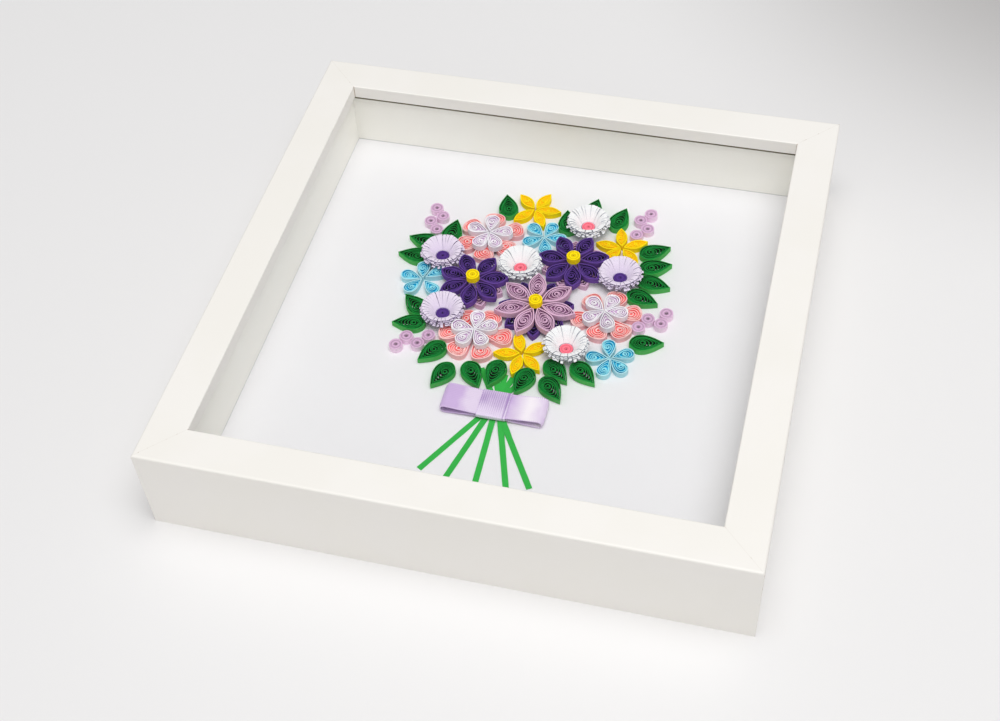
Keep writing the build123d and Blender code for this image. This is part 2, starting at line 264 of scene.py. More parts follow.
# tip and end are the powers of the width law, eye is the eye's place along the coil and ring the
# radius of the turn round it, rim is the outer wall's thickness, sunk and fill are depths
coils = {
    "yellow": dict(length=12, width=5.4, tip=1, end=1, eye=0.5, ring=0.8, turns=2, rim=0.7,
                   rounding=0.9, sunk=0.15, fill=0.45, tipsOut=True),
    "blue": dict(length=10.6, width=6.3, tip=1.15, end=0.5, eye=0.62, ring=1.5, turns=2, rim=0.45,
                 rounding=0.6, sunk=0.2, fill=0.9),
    "pink": dict(length=15, width=9.6, tip=1.7, end=0.5, eye=0.68, ring=2.1, turns=3, rim=0.5,
                 rounding=0.5, sunk=0.2, fill=0.8),
    "white": dict(length=10.6, width=6.8, tip=1.2, end=0.5, eye=0.62, ring=1.6, turns=2, rim=0.5,
                  rounding=0.5, sunk=0.25, fill=0.9),
    "purple": dict(length=14, width=7.7, tip=0.9, end=1.2, eye=0.46, ring=1.85, turns=3, rim=0.55,
                   rounding=0.6, sunk=0.4, tipsOut=True),
    "mauve": dict(length=16.8, width=8.2, tip=1.05, end=1.2, eye=0.47, ring=1.95, turns=3, rim=0.6,
                  rounding=0.6, sunk=0.35, fill=1.3, tipsOut=True),
    "mauveUnder": dict(length=13.4, width=7, tip=0.85, end=1.2, eye=0.6, ring=1.2, turns=4, rim=0.5,
                       rounding=0.6, sunk=0.3, tipsOut=True),
    "purpleUnder": dict(length=16.6, width=7, tip=0.85, end=1.2, eye=0.6, ring=1.2, turns=4,
                        rim=0.5, rounding=0.6, sunk=0.3, tipsOut=True),
    "leaf": dict(length=15.4, width=9.3, tip=1.1, end=0.6, eye=0.63, ring=2.0, turns=5, rim=0.45,
                 rounding=0.4, sunk=0.4),
}
ellipse = 0.5                   # both powers of the width law for a plain ellipse


# How wide a coil is along its length: along ** tip * (1 - along) ** end, scaled to 1 at its widest
def widthLaw(along, tip, end):
    peak = tip / (tip + end)
    return along ** tip * (1 - along) ** end / (peak ** tip * (1 - peak) ** end)


# One side of a closed turn, from its tip to its round end
def turnSide(start, stop, halfWidth, tip, end, count):
    along = (1 - np.cos(pi * np.linspace(0, 1, count))) / 2
    return start + (stop - start) * along, halfWidth * widthLaw(along, tip, end)


# A whole turn, anticlockwise from the round end, by way of the tip
def wholeTurn(x, y):
    return np.stack([np.concatenate([x[::-1], x[1:]]), np.concatenate([y[::-1], -y[1:]])], -1)


# The turns inside the rim. Each is smaller than the one before and rounder, and keeps a strip's
# pitch inside it, until there is a ring round the eye. The last turn is the eye's hole, which is
# wider in a wide eye.
def innerTurns(kind, s=winding):
    length, rim, ring, pitch = kind["length"], kind["rim"], kind["ring"], strip["pitch"]
    half, hole = kind["width"] / 2, max(strip["eyeHole"], ring * s["holeShare"])
    eye = kind["eye"] * length + chance.normal(0, s["eyeStray"])
    outerX, outerY = turnSide(0, length, half, kind["tip"], kind["end"], s["rimSamples"])
    outerY = np.maximum(outerY - rim, 0)
    reach = outerX[outerY > pitch * s["tipRoom"]]
    first, last = reach[0] + s["endRoom"], min(reach[-1], length - rim) - s["endRoom"]
    drift = chance.normal(0, s["drift"]) * half
    steps = chance.uniform(*s["step"], kind["turns"])
    steps[0] *= s["firstStep"]
    turns = []
    for turn, part in enumerate(np.r_[0, np.cumsum(steps) / steps.sum()]):
        stray = chance.normal(0, s["turnStray"], 3) * (0 < turn < kind["turns"])
        start = first + (eye - ring - first) * (part ** s["tipPace"]) + stray[0]
        stop = last - (last - eye - ring) * part + stray[1]
        height = half - rim - pitch / 2 - (half - rim - ring) * part + stray[2]
        rounder = part ** kind["rounding"]
        tip, end = (kind[key] + (ellipse - kind[key]) * rounder for key in ("tip", "end"))
        x, y = turnSide(start, stop, max(height, ring * s["lowest"]), tip, end, s["samples"])
        room = np.interp(x, outerX, outerY) - pitch * s["turnRoom"]
        outerX, outerY = x, np.clip(np.minimum(y, room), 0, None)
        turns.append(wholeTurn(outerX, outerY) + [0, drift * part * s["driftGrowth"]])
    circle = turnSide(eye - hole, eye + hole, hole, ellipse, ellipse, s["samples"])
    turns.append(wholeTurn(*circle) + [0, drift * s["driftGrowth"]])
    return np.array(turns)


# The wound strip's path: it slides from each turn to the next as it goes round
def woundPath(turns):
    around = np.linspace(0, 1, turns.shape[1])[None, :-1, None]
    path = turns[:-1, :-1] * (1 - around) + turns[1:, :-1] * around
    return np.concatenate([path.reshape(-1, 2), turns[-1]])


# A strip on edge along a path: the path moved by half its thickness to each side, from low to top
def stripAlong(gathered, path, thickness, low, top, tone, inside=0.0):
    run = np.gradient(path, axis=0)
    run /= np.maximum(np.linalg.norm(run, axis=1, keepdims=True), 1e-6)
    left = np.stack([-run[:, 1], run[:, 0]], -1) * thickness / 2
    top = np.broadcast_to(top, len(path))
    low = np.broadcast_to(low, len(path))
    corners = [(path + left, low), (path + left, top), (path - left, top), (path - left, low)]
    points = np.stack([np.column_stack([flat, height]) for flat, height in corners], 1)
    quads = barQuads(len(path))
    cut = np.zeros(len(quads))
    cut[1:-2:4] = 1             # the second of each four quads is the strip's upper edge
    gathered.add(points, quads, cutEdge=cut, tone=tone, inside=inside)


# The rim: the outer turns, glued to one wall. Its inner line is the outer one moved inwards by
# the wall's thickness and kept on its own side of the middle.
def rimLines(kind, count=24):
    x, y = turnSide(0, kind["length"], kind["width"] / 2, kind["tip"], kind["end"], count)
    outer = wholeTurn(x, y)[:-1]
    slope = np.gradient(outer, axis=0)
    slope[0], slope[-1] = outer[1] - outer[-1], outer[0] - outer[-2]
    slope /= np.maximum(np.linalg.norm(slope, axis=1, keepdims=True), 1e-6)
    inner = outer + np.stack([-slope[:, 1], slope[:, 0]], -1) * kind["rim"]
    above, below = np.maximum(inner[:, 1], 0), np.minimum(inner[:, 1], 0)
    inner[:, 1] = np.where(outer[:, 1] >= 0, above, below)
    return outer, inner


# The rim's wall with softly rounded top edges, from its inner foot over the top to its outer foot.
# A share is 0 on the outer line and 1 on the inner one.
def rimWall(piece, kind, lift, tone):
    height, soft = strip["height"], strip["rimRound"]
    outer, inner = rimLines(kind)
    profile = [(1, lift), (1, height - soft), (1 - soft / kind["rim"], height),
               (soft / kind["rim"], height), (0, height - soft), (0, lift)]
    share, level = (np.array(column) for column in zip(*profile))
    flat = outer[:, None] + (inner - outer)[:, None] * share[None, :, None]
    level = np.broadcast_to(level[None, :, None], (len(outer), len(share), 1))
    quads = gridQuads(len(outer), len(share), closedRows=True)
    # the rim's inner face takes the painted inside shade, its top the cut edge colour
    cutEdge, inside = [0.0, 0.7, 1, 0.7, 0, 0], [1.0, 0, 0, 0, 0, 0]
    piece.add(np.concatenate([flat, level], -1), quads, cutEdge=np.tile(cutEdge, len(outer)),
              tone=tone, inside=np.tile(inside, len(outer)))


# The closely wound turns deep inside, too fine to show one by one: a plate across the coil in
# the coil's painted inside shade
def deepFill(piece, kind, tone, s=winding):
    start, stop = s["fillInset"], kind["length"] - s["fillInset"]
    half = kind["width"] / 2 - s["fillInset"]
    x, y = turnSide(start, stop, half, kind["tip"], kind["end"], s["fillSamples"])
    flat = np.stack([np.stack([x, side * y], -1) for side in (1, 0, -1)], 1)
    level = np.full((*flat.shape[:2], 1), strip["height"] - kind["sunk"] - kind["fill"])
    quads = gridQuads(len(x), 3, openColumns=True)[:, ::-1]
    piece.add(np.concatenate([flat, level], -1), quads, tone=tone, inside=1.0)


# A whole coil, turned and moved to its place. lift raises its foot, where something thin lies
# under it, and flip turns its tip outwards.
def coil(gathered, kind, place, turn, low, lift, flip=False, s=winding):
    piece, height = Gathered(), strip["height"]
    tone = chance.normal(0, s["toneSpread"])
    rimWall(piece, kind, lift, tone)
    if "fill" in kind:
        deepFill(piece, kind, tone)
    path = woundPath(innerTurns(kind))
    along = np.linspace(0, 1, len(path))
    wave = s["wave"] * np.sin(2 * pi * (along * chance.uniform(*s["waves"]) + chance.random()))
    top = height - kind["sunk"] * (1 - 0.5 * along ** 3) + wave
    top = np.minimum(top, height - s["belowRim"])
    thicker = (strip["eyeThickness"] - strip["thickness"]) * along[:, None] ** 2
    # the inner turns take the painted inside shade
    stripAlong(piece, path, strip["thickness"] + thicker, lift, top, tone, inside=1.0)
    cos, sin = np.cos(radians(turn)), np.sin(radians(turn))

    def move(points):
        x, y, z = points.T
        if flip:
            x, y = kind["length"] - x, -y
        x, y = place[0] + x * cos - y * sin, place[1] + x * sin + y * cos
        return np.stack([x, y, z + low], -1)

    gathered.addMoved(piece, move)


# How far the inner ends stay from a flower's centre so that its petals don't meet
def petalRoot(kind, directions):
    around = np.sort(directions)
    spread = np.diff(np.append(around, around[0] + 360)).min()
    share = np.linspace(0, 1, 41)
    inward = 1 - share if kind.get("tipsOut") else share
    half = kind["width"] / 2 * widthLaw(share, kind["tip"], kind["end"]) + strip["gap"] / 2
    return (half / np.tan(radians(spread / 2)) - inward * kind["length"]).max()


# Level, and the flowers of that kind: centre and the petals' directions
flowers = {
    "yellow": (0, [((-9.6, 75.0), (-132, -59, 2, 66, 138)),
                   ((36.0, 58.0), (-125, -44, 30, 103, 175)),
                   ((5.7, -14.1), (-171, -97, -39, 40, 113))]),
    "blue": (0, [((-50.0, 20.4), (-122, -39, 44, 102, 172)),
                 ((-1.1, 57.5), (-149, -74, 5, 73, 141)),
                 ((43.9, -8.9), (-176, -100, -38, 30, 104))]),
    "pink": (0, [((-26.7, 52.5), (-148, -88, -28, 32, 90, 150)),
                 ((-17.6, -7.6), (-176, -119, -60, 5, 66, 124)),
                 ((37.9, 15.4), (-159, -103, -46, 18, 80, 140))]),
    "white": (1, [((-26.4, 53.1), (-113, -56, 14, 94, 168)),
                  ((-17.8, -6.9), (-119, -51, 27, 93, 176)),
                  ((36.5, 15.1), (-140, -68, 6, 72, 144))]),
    "purple": (1, [((-26.2, 22.3), (-142, -86, -36, 14, 65, 120, 170)),
                   ((16.3, 43.0), (-127, -80, -34, 20, 72, 126, 178))]),
    "mauve": (1, [((5.5, 13.1), (-158, -104, -55, -7, 44, 99, 149))]),
}
# Petals on the card under the pointed heads: kind, paper, centre and directions
underPetals = {
    "mauve_under_petals_1": ("mauveUnder", "mauve", (-26.2, 22.3), (-61, -12, 40)),
    "mauve_under_petals_2": ("mauveUnder", "mauve", (16.3, 43.0), (-156, -105, -56, -8, 46, 98)),
    "purple_under_petals": ("purpleUnder", "purple", (5.5, 13.1),
                            (-179, -131, -82, -32, 19, 74, 125)),
}
# Petals that were glued a little further out than their neighbours: direction and how far
outward = {
    "pink_flower_1": {32: 2.0, 90: 0.8}, "pink_flower_2": {5: 1.9, -176: 1.3, 66: 0.8},
    "pink_flower_3": {-159: 1.7, 18: 0.5}, "blue_flower_1": {44: 1.2, -39: 0.9},
    "blue_flower_2": {141: 0.7}, "blue_flower_3": {30: 0.6},
}
# Pieces whose feet stand on the upper ends of the stems
lifted = {"yellow_flower_3": 0.35, "leaves_bottom_left": 0.35, "leaves_bottom_right": 0.35}


def flowerPiece(name, kindName, paper, centre, directions, level):
    kind, gathered = coils[kindName], Gathered()
    low, lift = strip["low"] + level * strip["height"], lifted.get(name, strip["foot"])
    root = petalRoot(kind, directions)
    for direction in directions:
        angle, out = radians(direction), root + outward.get(name, {}).get(direction, 0)
        inner = (centre[0] + out * np.cos(angle), centre[1] + out * np.sin(angle))
        coil(gathered, kind, inner, direction, low, lift, flip="tipsOut" in kind)
    gathered.piece(name + "Coils", papers[paper], name, paper + "_paper")


for kindName, (level, places) in flowers.items():
    for number, (centre, directions) in enumerate(places, 1):
        flowerPiece(f"{kindName}_flower_{number}", kindName, kindName, centre, directions, level)
for name, (kindName, paper, centre, directions) in underPetals.items():
    flowerPiece(name, kindName, paper, centre, directions, 0)
print("flowers made")

# Leaves by their side of the bouquet: tip and direction
leaves = {
    "top": [((-25.3, 82.2), -72), ((5.7, 77.5), -77), ((18.7, 87.8), -98), ((33.1, 84.2), -103)],
    "right": [((58.0, 63.0), -148), ((60.6, 52.2), -158), ((62.3, 37.5), 171),
              ((58.6, 26.7), 164), ((65.5, 4.6), 192)],
    "bottom_right": [((40.6, -24.5), 140), ((28.7, -26.0), 138), ((28.0, -36.8), 131),
                     ((7.6, -36.6), 75)],
    "bottom_left": [((-4.5, -35.0), 82), ((-8.4, -36.4), 123), ((-29.0, -40.0), 67),
                    ((-38.5, -27.2), 53)],
    "left": [((-56.2, -8.0), 11), ((-55.0, 9.5), -39), ((-66.0, 34.5), 0),
             ((-63.9, 45.8), -8), ((-44.2, 61.0), -92)],
}
for side, places in leaves.items():
    node, gathered = "leaves_" + side, Gathered()
    lift = lifted.get(node, strip["foot"])
    for tip, direction in places:
        coil(gathered, coils["leaf"], tip, direction, strip["low"], lift)
    gathered.piece(node + "Coils", papers["green"], node, "green_paper")
print("leaves made")


# Tight coils: a strip wound without gaps, round a small hole. sizes are radius and hole.
tight = {
    "thickness": 0.19, "pitch": 0.21, "samples": 24, "sunk": 0.06, "dish": 0.16, "flatRim": 0.45,
    "ringEvery": 6.4, "ringHeight": 0.04, "ringShade": 0.9, "toneSpread": 0.1,
    "sizes": {"berry": (3.15, 0.75), "centre": (3.2, 0.4), "eye": (3.0, 0.4), "root": (4.0, 3.2)},
}


# The radius shrinks by a pitch a turn. The top sinks towards the middle, and a sine of the angle
# raises every few turns and paints them lighter and the turns between darker, a painted ring
# shading that shows as rings.
def tightCoil(gathered, centre, size, low, s=tight):
    radius, hole = s["sizes"][size]
    turns = (radius - s["thickness"] / 2 - hole) / s["pitch"]
    angle = np.linspace(0, 2 * pi * turns, int(turns * s["samples"])) + chance.uniform(0, 2 * pi)
    share = np.linspace(0, 1, len(angle))
    reach = radius - s["thickness"] / 2 - share * turns * s["pitch"]
    path = np.stack([centre[0] + reach * np.cos(angle), centre[1] + reach * np.sin(angle)], -1)
    ring = np.sin(angle / s["ringEvery"])
    inward = np.clip((radius - s["flatRim"] - reach) / radius, 0, 1)
    top = low + strip["height"] - s["sunk"] + s["ringHeight"] * ring - s["dish"] * inward
    tone = np.append(np.repeat(s["ringShade"] * ring[1:], 4), [0, 0])
    stripAlong(gathered, path, s["thickness"], low, top, tone + chance.normal(0, s["toneSpread"]))


def tightPiece(name, node, paper, size, centres, low=strip["low"]):
    gathered = Gathered()
    for centre in centres:
        tightCoil(gathered, centre, size, low)
    gathered.piece(name, papers[paper], node, paper + "_paper")


berries = {
    "top_left": [(-56.1, 66.6), (-51.8, 61.8), (-56.7, 57.6), (-52.3, 52.7)],
    "top_right": [(45.1, 82.6), (41.1, 77.6), (45.3, 72.6), (40.9, 67.7)],
    "right": [(52.7, 11.5), (56.0, 17.1), (62.1, 15.4), (63.4, 21.9)],
    "left": [(-50.5, -20.5), (-47.3, -14.7), (-41.4, -17.8), (-37.8, -12.3)],
}
for side, places in berries.items():
    tightPiece(f"berries_{side}Coils", "berries_" + side, "berry", "berry", places)
for number, (centre, _) in enumerate(flowers["purple"][1] + flowers["mauve"][1], 1):
    node, low = f"yellow_centre_{number}", strip["low"] + 2 * strip["height"]
    tightPiece(node + "Coil", node, "yellow", "centre", [centre], low)
print("berries and centres made")


# Fringed flowers: a cut strip wound round a tight coil, its fringes opened to a ragged bowl.
# Strays are spreads, and uneven makes them grow from the first layer to the last.
fringe = {
    "layers": 4, "fringes": 32, "steps": 7, "uncutSteps": 3, "rootRadius": 3.2, "layerStep": 0.2,
    "rimRadius": 9.1, "layerReach": 0.34, "low": 11.6, "rise": {"lilac": 4.95, "fringeWhite": 5.7},
    "layerDrop": 0.75, "bend": 1.68, "layerBend": 0.12, "rootWidth": 0.66, "tipWidth": 1.76,
    "tipNarrowing": 0.1, "tipRange": (0.8, 1.04), "thickness": 0.24, "uneven": (0.6, 0.5),
    "turnStray": 0.14, "rimStray": 0.16, "riseStray": 0.07, "bendStray": 0.06,
    "twistStray": 0.07, "toneSpread": 0.06, "rootShade": (1.15, 4.5),
}
fringedFlowers = [
    ("lilac", (-44.8, 36.5)), ("lilac", (-35.0, 1.7)), ("lilac", (38.8, 39.1)),
    ("fringeWhite", (17.7, 68.3)), ("fringeWhite", (-7.4, 36.1)), ("fringeWhite", (24.2, -7.7)),
]


# One layer of fringes, the first one innermost. Each fringe goes out at an even pace, and its
# height follows the sine of bend times the way out, so that the outer layers' tips curl down.
def fringeLayer(gathered, centre, layer, highest, s=fringe):
    count, steps = s["fringes"], s["steps"]
    spread = s["uneven"][0] + s["uneven"][1] * layer
    stray = lambda key: chance.normal(0, s[key] * spread, count)
    turn = 2 * pi * (np.arange(count) + stray("turnStray")) / count + chance.uniform(0, 2 * pi)
    out = np.linspace(0, 1, steps)[None, :]
    root = s["rootRadius"] + s["layerStep"] * layer
    rim = s["rimRadius"] + s["layerReach"] * layer + stray("rimStray")[:, None]
    rise = highest - s["layerDrop"] * layer - np.abs(stray("riseStray"))[:, None]
    bend = s["bend"] + s["layerBend"] * layer + stray("bendStray")[:, None]
    radius = root + (rim - root) * out
    height = s["low"] + rise * np.sin(bend * out)
    tipWidth = s["tipWidth"] - s["tipNarrowing"] * layer
    tipWidth = tipWidth * chance.uniform(*s["tipRange"], count)[:, None]
    width = s["rootWidth"] + (tipWidth - s["rootWidth"]) * out
    twist = stray("twistStray")[:, None] * out
    outwards = np.stack([np.cos(turn), np.sin(turn), 0 * turn], -1)[:, None]
    across = np.stack([-np.sin(turn), np.cos(turn), 0 * turn], -1)[:, None]
    up = np.array([0, 0, 1.0])
    middle = radius[..., None] * outwards + height[..., None] * up + [centre[0], centre[1], 0]
    slope = np.gradient(middle, axis=1)
    slope /= np.linalg.norm(slope, axis=-1, keepdims=True)
    side = across * np.cos(twist)[..., None] + up * np.sin(twist)[..., None]
    face = np.cross(slope, side)
    face /= np.linalg.norm(face, axis=-1, keepdims=True)
    half, thick = side * width[..., None] / 2, face * s["thickness"] / 2
    left, right = middle - half, middle + half
    corners = np.stack([left - thick, left + thick, right + thick, right - thick], 2)
    one = barQuads(steps)
    quads = (one[None] + np.arange(count)[:, None, None] * steps * 4).reshape(-1, 4)
    # painted shade: dark cut sides on each fringe's outer half for the slits, lower layers dark at
    # the root
    parted = np.tile([1.0, 0, 1.0, 0], steps - 1 - s["uncutSteps"])
    cut = np.tile(np.r_[np.zeros(4 * s["uncutSteps"]), parted, 0, 1.0], count)
    tone = np.repeat(stray("toneSpread"), len(one))
    most, fade = s["rootShade"]
    shade = np.repeat(np.clip(most - np.arange(steps - 1) / fade, 0, 1), 4)
    shade = np.append(shade, [1, 0]) * min(layer, 1)        # the innermost layer has no shade
    gathered.add(corners, quads, cutEdge=cut, tone=tone, inside=np.tile(shade, count))


fringeSlots = {"lilac": "lilac_paper", "fringeWhite": "white_paper"}
for number, (paper, centre) in enumerate(fringedFlowers, 1):
    node, gathered = f"fringed_flower_{number}", Gathered()
    for layer in range(fringe["layers"]):
        fringeLayer(gathered, centre, layer, fringe["rise"][paper])
    tightCoil(gathered, centre, "root", strip["low"])
    gathered.piece(node + "Fringes", papers[paper], node, fringeSlots[paper], angle=50)
eyes = (("violet_eyes", "violet", "lilac"), ("pink_eyes", "rose", "fringeWhite"))
for node, paper, fringes in eyes:
    centres = [centre for kind, centre in fringedFlowers if kind == fringes]
    tightPiece(node + "Coils", node, paper, "eye", centres)
print("fringed flowers made")


# Stems: flat strips that cross in a stack at the knot, come down to the card on both sides of
# it and end under the leaves. A strip is its lean, its reach above and below the knot, and how
# far it lies aside; its points lie in runs along it, each from, to and how many.
stems = {
    "knot": (1.0, -41.0), "width": 2.6, "thickness": 0.14, "level": 0.2, "settled": 0.04,
    "foot": 0.01, "upFrom": -21, "upRun": 4, "downTo": 5.8, "downRun": 2.2,
    "waver": 0.03, "waverPace": 0.5, "toneSpread": 0.1,
    "below": (-21.5, 6), "runs": ((-20.5, -17, 6), (-12, 3, 4), (3.6, 6, 6)), "above": (7, 4),
    "strips": ((-29.3, 13.5, 47.2, 0.2), (-14.2, 15, 46.5, 0), (1.8, 15.5, 46.5, 0.5),
               (18.1, 15, 46.5, 0.9), (31.5, 20, 48.5, -0.8)),
}


# Each strip's height steps down smoothly, from its level in the stack to the card
def stemStrips(s=stems):
    gathered = Gathered()
    for level, (lean, above, below, aside) in enumerate(s["strips"]):
        runs = ((-below, *s["below"]), *s["runs"], (s["above"][0], above, s["above"][1]))
        along = np.concatenate([np.linspace(*run) for run in runs])
        rise = np.clip((along - s["upFrom"]) / s["upRun"], 0, 1)
        rise = rise * np.clip((s["downTo"] - along) / s["downRun"], 0, 1)
        rise = rise * rise * (3 - 2 * rise)
        stacked = level * (s["settled"] + (s["level"] - s["settled"]) * rise)
        height = strip["low"] + s["foot"] + stacked
        cos, sin = np.cos(radians(lean + 90)), np.sin(radians(lean + 90))
        waver = s["waver"] * np.sin(along * s["waverPace"] + level)
        rows = []
        for side, lift in ((1, 0), (1, s["thickness"]), (-1, s["thickness"]), (-1, 0)):
            across = side * (s["width"] / 2 + waver)
            x = s["knot"][0] + aside + along * cos - across * sin
            y = s["knot"][1] + along * sin + across * cos
            rows.append(np.stack([x, y, height + lift], -1))
        tone = chance.normal(0, s["toneSpread"])
        gathered.add(np.stack(rows, 1), barQuads(len(along)), tone=tone)
    gathered.piece("flowerStems", papers["stem"], "flower_stems", "stem_paper")


stemStrips()
print("stems made")


# Bow: satin ribbon folded to a flat double loop, and a wrap round its middle
bow = {
    "centre": (1.0, -44.5, 11.3), "width": 13.4, "length": 46, "thickness": 0.3,
    "open": 4.1, "fold": 2.6, "pinch": 1.5, "corner": 0.6, "inside": 11,
    "wrapLength": 12.8, "wrapHigh": 2.55, "wrapDeep": 14.4, "wrapCorner": 0.28,
}
# Lengths in mm. light and dark are the lit satin and the satin in painted shade. A band,
# a painted highlight and shade along the ribbon, is its length, phase and shade, ribs their width
# and shade, and selvedge and rim are shares of the ribbon's width. tuck is how far across the
# folded end's line lies; that line is painted darker as its shade.
satins = {
    "satinLoops": {"light": (255, 247, 255), "dark": (210, 182, 228), "ribs": (0.9, 0.03),
                   "band": (22, 1.2, 0.4), "shaded": (32, 38), "shadedBy": 0.5},
    "satinWrap": {"light": (236, 220, 246), "dark": (172, 140, 198), "ribs": (0.9, 0.24),
                  "band": (18, -0.17, 0.35), "tuck": 5.3, "tuckEdge": (0.1, 0.5), "tuckShade": 0.7},
}
weave = {
    "selvedge": (0.445, 0.465), "rim": (0.482, 0.492), "rimShade": 0.7, "stitch": 0.95,
    "stitchShade": 0.7, "cloud": 5, "cloudShade": 0.6, "fibre": 0.12, "depth": 0.05,
}


# Satin: pale threads that shine along one direction, with a painted highlight and painted shade in
# soft lighter and darker bands along the ribbon, with fine ribs and a row of small stitches down
# each selvedge
def satin(name, s=weave):
    own, width = satins[name], bow["width"] * mm
    (bandLength, phase, bandShade), (ribWidth, ribShade) = own["band"], own["ribs"]
    graph = Graph(name, Roughness=0.36, Specular_IOR_Level=0.5, Sheen_Weight=0.2,
                  Sheen_Roughness=0.4, Anisotropic=0.5)
    ribbon = graph.node("UVMap", {"uv_map": "alongStrip"}).outputs[0]
    u, v, _ = graph.node("SeparateXYZ", Vector=ribbon).outputs
    band = graph.maths("SINE", graph.maths("MULTIPLY_ADD", u, 2 * pi / (bandLength * mm), phase))
    ribs = graph.maths("SINE", graph.maths("MULTIPLY", v, 2 * pi / (ribWidth * mm)))
    stitch = graph.maths("SINE", graph.maths("MULTIPLY", u, 2 * pi / (s["stitch"] * mm)))
    aside = graph.maths("ABSOLUTE", v)
    selvedge = graph.between(aside, *(width * share for share in s["selvedge"]))
    rim = graph.between(aside, *(width * share for share in s["rim"]), 0, s["rimShade"])
    share = graph.maths("MULTIPLY", graph.noise(s["cloud"], 2), s["cloudShade"])
    share = graph.maths("MULTIPLY_ADD", band, bandShade, share)
    share = graph.maths("MULTIPLY_ADD", ribs, ribShade, graph.maths("ADD", share, rim))
    stitches = graph.maths("MULTIPLY", selvedge, stitch)
    share = graph.maths("MULTIPLY_ADD", stitches, s["stitchShade"], share, clamp=True)
    # painted shade: along the folded end's line on the wrap, beside the wrap on the right loop
    if "tuck" in own:       # the line where the ribbon's end is folded under
        low, high = own["tuckEdge"]
        apart = graph.maths("ABSOLUTE", graph.maths("SUBTRACT", v, own["tuck"] * mm))
        darker = graph.between(apart, low * mm, high * mm, own["tuckShade"], 0)
    else:                   # the right loop lies in the wrap's shade
        low, high = own["shaded"]
        darker = graph.between(u, low * mm, high * mm, 0, own["shadedBy"])
    share = graph.maths("ADD", share, darker, clamp=True)
    graph.bump(graph.maths("MULTIPLY_ADD", ribs, 0.5, graph.noise(s["fibre"])), s["depth"], 0.5)
    return graph.set(Base_Color=graph.mix(share, colour(*own["light"]), colour(*own["dark"])))


# A ribbon along a closed path of (along, height) pairs, as wide as across, with its two faces a
# thickness apart. The path's own turn gives the ribbon its face direction, corner is how far the
# folds' corners are drawn back, and inside shifts the painted highlight and shade bands of the
# ribbon's inner face, so that they fall opposite to those of its outer face.
def ribbonPiece(name, path, across, axes, material, node, corner=0, inside=0, s=bow):
    step = np.roll(path, -1, 0) - np.roll(path, 1, 0)
    step /= np.linalg.norm(step, axis=1, keepdims=True)
    face = np.stack([-step[:, 1], step[:, 0]], -1) * s["thickness"] / 2
    pace = np.linalg.norm(np.diff(path, axis=0, append=path[:1]), axis=1)
    length = np.r_[0, np.cumsum(pace)]
    share = np.linspace(-0.5, 0.5, 13)
    nearEdge = np.abs(2 * share[None]) ** 8
    points, uv = [], []
    for side in (1, -1):
        flat = path + side * face
        grid = np.zeros((len(path), len(share), 3))
        nearFold = (np.abs(flat[:, :1]) / np.abs(flat[:, 0]).max()) ** 12
        grid[..., axes[0]] = flat[:, :1] - np.sign(flat[:, :1]) * corner * nearFold * nearEdge
        grid[..., 2] = flat[:, 1:]
        grid[..., axes[1]] = share[None] * across
        points.append(grid[:, ::side])
        along = length[:-1, None] + (side > 0) * inside
        uv.append(np.stack(np.broadcast_arrays(along, (share * across)[None, ::side]), -1))
    gathered = Gathered()
    ring = np.concatenate(points, 1) + np.array(s["centre"])
    quads = gridQuads(len(path), 2 * len(share), closedRows=True)
    if axes[0] == 0:            # a path along x gives the quads inside out
        quads = quads[:, ::-1]
    gathered.add(ring, quads, uv=np.concatenate(uv, 1) * mm)
    made = gathered.piece(name, material, node, "satin_ribbon", angle=60)


# The upper right quarter opens as a sine from the pinch and closes as a quarter ellipse at the
# fold. It is mirrored down and to the left.
def bowPath(s=bow):
    inset = s["thickness"] / 2
    reach, start = s["length"] / 2 - inset, s["wrapLength"] / 2
    turn = np.linspace(0, 1, 28)
    along = start + (reach - start) * np.sin(turn * pi / 2) ** 0.9
    opening = np.sin(np.minimum(turn * 1.35, 1) * pi / 2)
    openness = s["pinch"] / 2 + (s["open"] / 2 - s["pinch"] / 2) * opening
    closing = np.sqrt(1 - np.clip((along - reach + s["fold"]) / s["fold"], 0, 1) ** 2)
    height = (openness - inset) * closing
    upper = np.concatenate([[[0, s["pinch"] / 2 - inset]], np.stack([along, height], -1)])
    right = np.concatenate([upper[:-1], [[reach, 0]], upper[:-1][::-1] * [1, -1]])
    return np.concatenate([right[::-1], right[1:-1] * [-1, 1]])


# A squared oval: the turn's cosine and sine, each raised to the small power wrapCorner
def wrapPath(s=bow):
    wide, high = s["wrapDeep"] / 2 - s["thickness"] / 2, s["wrapHigh"] / 2 - s["thickness"] / 2
    turn = np.linspace(0, 2 * pi, 64, endpoint=False)
    waves = np.stack([np.cos(turn), np.sin(turn)], -1)
    return np.sign(waves) * np.abs(waves) ** s["wrapCorner"] * [wide, high]


ribbonPiece("bowLoops", bowPath(), bow["width"], (0, 1), satin("satinLoops"), "bow_loops",
            bow["corner"], bow["inside"])
ribbonPiece("bowWrap", wrapPath(), bow["wrapLength"], (1, 0), satin("satinWrap"), "bow_wrap")
print("bow made")


# Foil-wrapped moulding: a satin white skin with a faint print, and mitres whose edges have
# chipped. bite and parted are the shades of a chipped mitre and of the opened one on the lip.
foil = {
    "warm": (243, 240, 234), "pale": (244, 241, 236), "chip": (150, 120, 86), "cloud": 30,
    "chips": 1.3, "chipFrom": (0.60, 0.66), "bite": (0.75, 0.16), "seam": (0.04, 0.12),
    "opening": 107.5, "lip": (0.1, 0.2), "lipSeam": (0.25, 0.4), "parted": 0.5,
    "roughness": (0.36, 0.48), "grain": 0.5, "depth": 0.02, "strength": 0.3,
}


